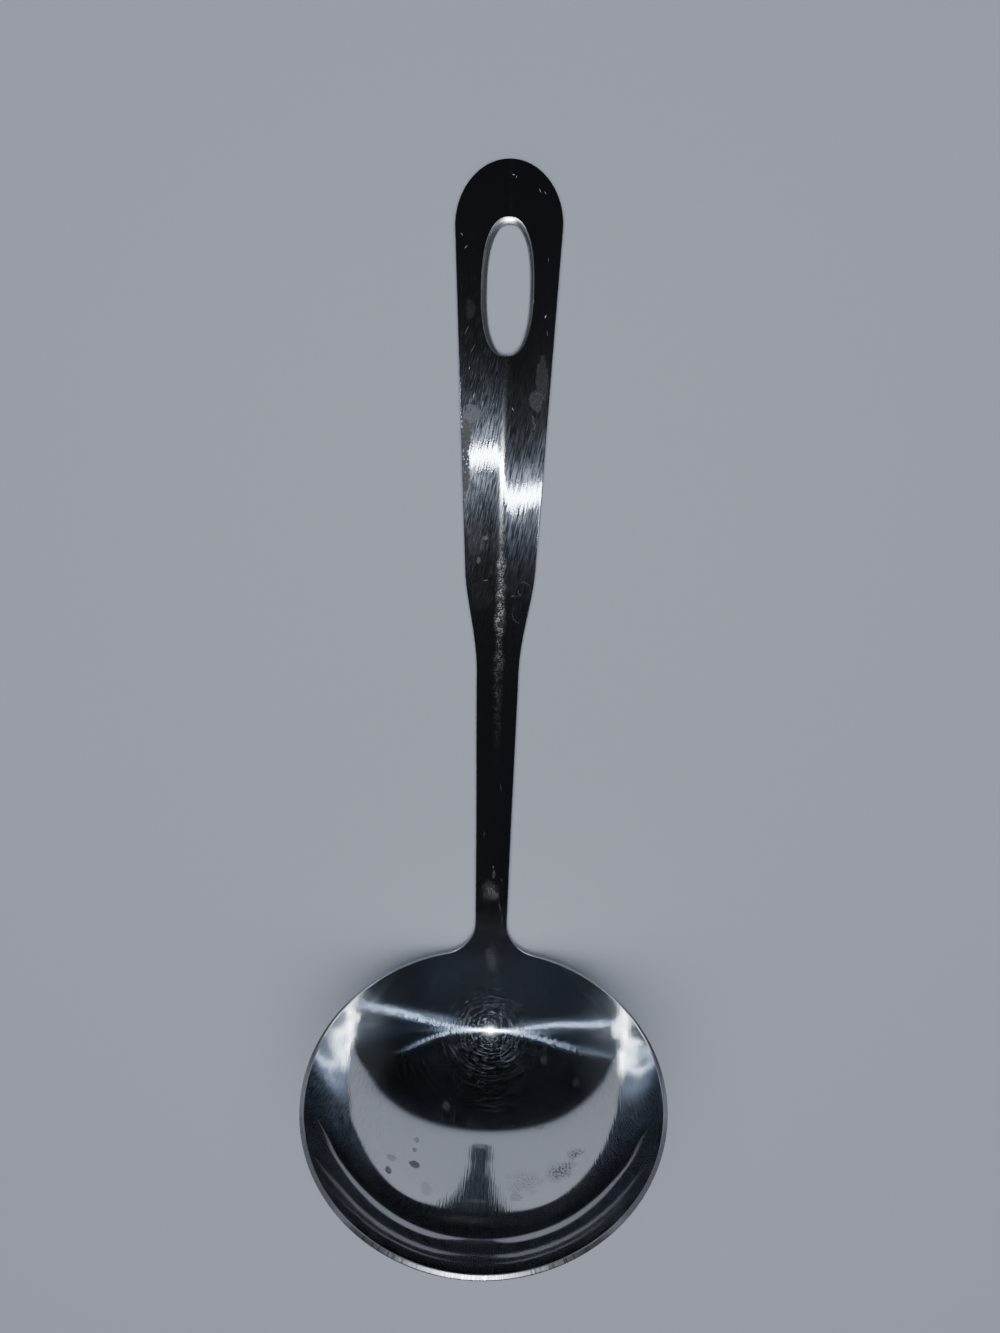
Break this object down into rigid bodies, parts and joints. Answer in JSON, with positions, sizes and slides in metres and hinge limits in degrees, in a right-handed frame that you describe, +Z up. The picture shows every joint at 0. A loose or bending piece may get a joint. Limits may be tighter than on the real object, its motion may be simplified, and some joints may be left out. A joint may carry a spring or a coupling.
{
  "type": "ladle",
  "caption": "Polished sheet-steel soup ladle: a deep round bowl on a narrow neck, and a flat handle with a low ridge along it, a rounded end and an egg-shaped hanging slot.",
  "frame": {"origin": "on the resting surface, under the middle of the ladle's box as it lies", "axes": "+Y from the bowl to the handle's tip, +Z up off the surface, X across the handle"},
  "size_m": [0.0898, 0.255, 0.0839],
  "materials": {
    "bowl_steel": "polished, with fine brush lines, hairline scratches and dried water marks",
    "handle_steel": "polished, brushed lengthwise, with a duller pitted line along the ridge"
  },
  "bodies": {
    "root": {"bowl": "bowl_steel", "handle": "handle_steel"}
  },
  "joints": []
}
